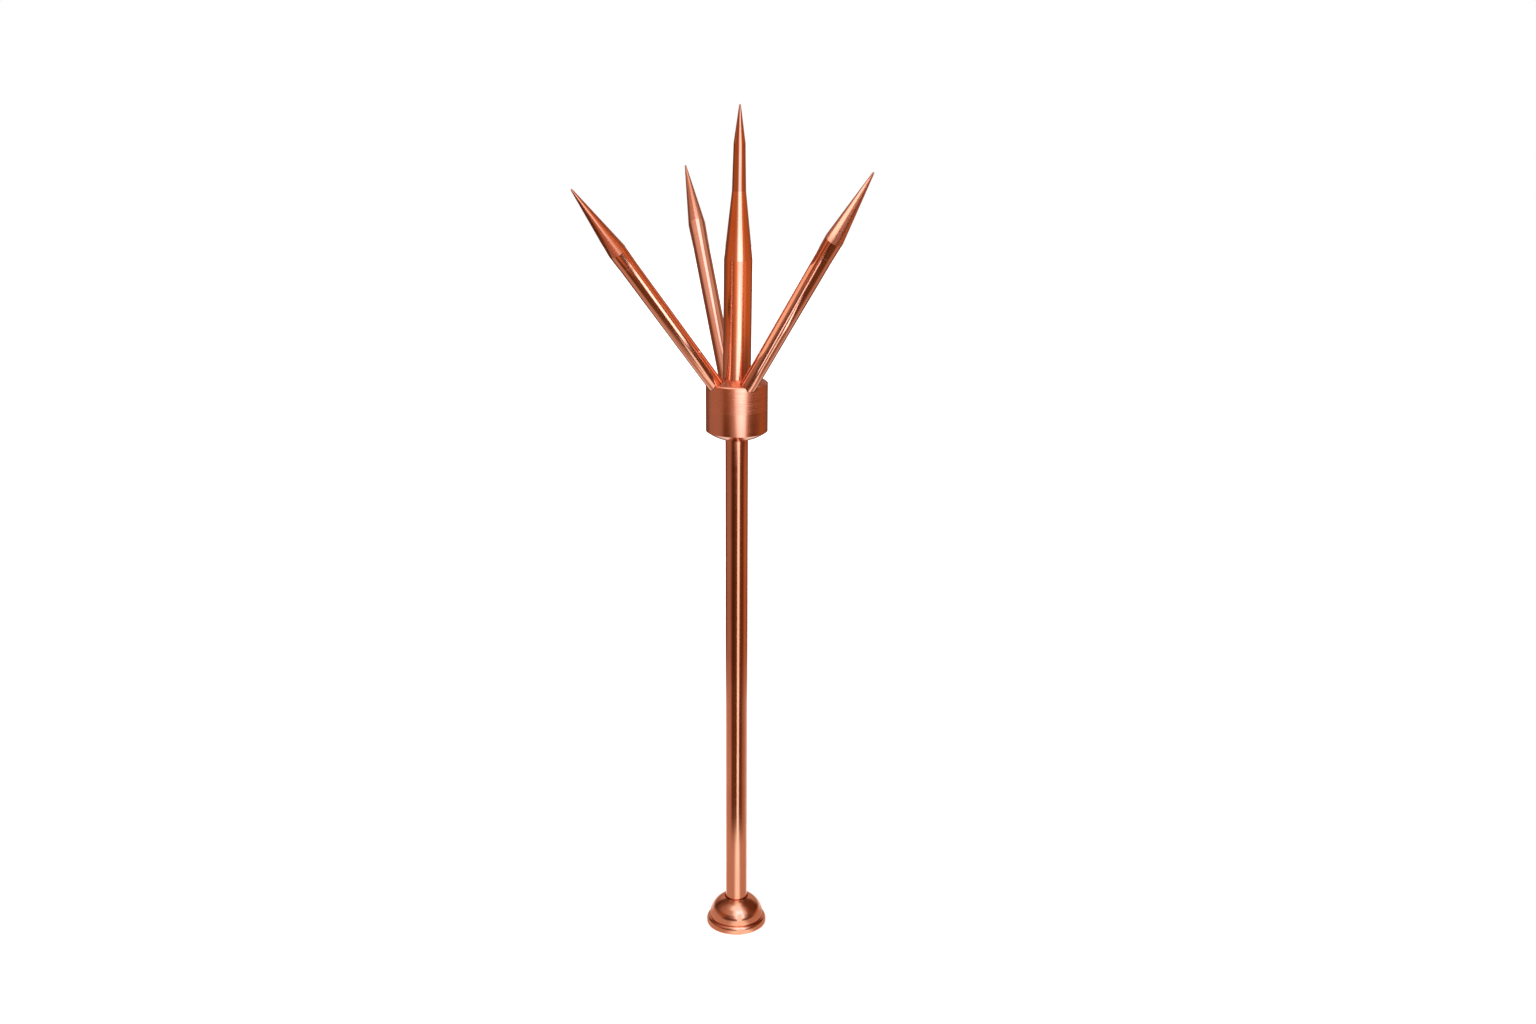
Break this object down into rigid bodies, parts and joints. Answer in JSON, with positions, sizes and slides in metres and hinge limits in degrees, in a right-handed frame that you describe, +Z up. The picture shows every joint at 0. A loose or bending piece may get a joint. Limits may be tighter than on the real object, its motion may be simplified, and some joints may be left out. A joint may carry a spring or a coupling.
{
  "type": "lightning arrester",
  "caption": "Copper air terminal: a bell foot and a plain round rod carry a drum hub, with an upright point on top and points that lean out from its rim.",
  "frame": {"origin": "centre of the foot's underside, at the mouth of the fixing hole", "axes": "+Z up along the rod, +X to the right of the front view, -Y towards the viewer"},
  "size_m": [0.2932, 0.3779, 0.9529],
  "materials": {
    "polished_copper": "bright polished copper",
    "drawn_copper": "drawn and polished copper bar",
    "turned_copper": "fine turned and polished copper"
  },
  "bodies": {
    "root": {"foot": "polished_copper", "rod": "drawn_copper", "hub": "turned_copper", "upright_point": "polished_copper", "left_point": "polished_copper", "back_point": "polished_copper", "right_point": "polished_copper"}
  },
  "joints": []
}
